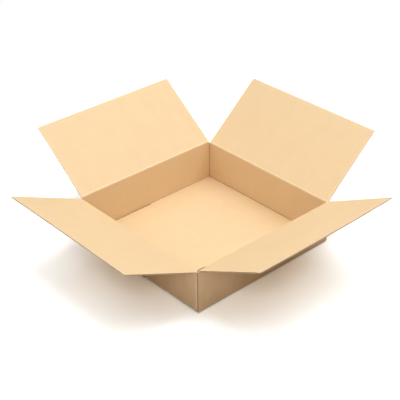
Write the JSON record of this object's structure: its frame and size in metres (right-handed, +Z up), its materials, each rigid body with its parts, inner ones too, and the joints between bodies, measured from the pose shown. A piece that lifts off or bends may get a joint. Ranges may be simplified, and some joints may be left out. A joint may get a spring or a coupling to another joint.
{
  "type": "open cardboard box",
  "caption": "Shallow square slotted carton of corrugated board, open at the top with its lid flaps folded outwards and its bottom taped shut.",
  "frame": {"origin": "middle of the underside, on the plane that the box stands on", "axes": "+Z up; the front wall faces -Y and the right wall faces +X"},
  "size_m": [0.7435, 0.7405, 0.2357],
  "materials": {
    "board": "matt brown kraft board with fine fluting",
    "packing_tape": "thin tan film with a soft shine"
  },
  "bodies": {
    "carton": {"carton_body": "board", "bottom_tape": "packing_tape"},
    "front_lid": {"front_flap": "board"},
    "right_lid": {"right_flap": "board"},
    "back_lid": {"back_flap": "board"},
    "left_lid": {"left_flap": "board"}
  },
  "joints": [
    {"name": "front_flap_fold", "type": "hinge", "parent": "carton", "child": "front_lid", "pos_m": [0, -0.2015, 0.1043], "axis": [1, 0, 0], "range_deg": [-155.5, 52.5]},
    {"name": "right_flap_fold", "type": "hinge", "parent": "carton", "child": "right_lid", "pos_m": [0.2015, 0, 0.1076], "axis": [0, 1, 0], "range_deg": [-152.8, 55.2]},
    {"name": "back_flap_fold", "type": "hinge", "parent": "carton", "child": "back_lid", "pos_m": [0, 0.2015, 0.1043], "axis": [-1, 0, 0], "range_deg": [-139.6, 68.4]},
    {"name": "left_flap_fold", "type": "hinge", "parent": "carton", "child": "left_lid", "pos_m": [-0.2015, 0, 0.1076], "axis": [0, -1, 0], "range_deg": [-142.8, 65.2]}
  ]
}
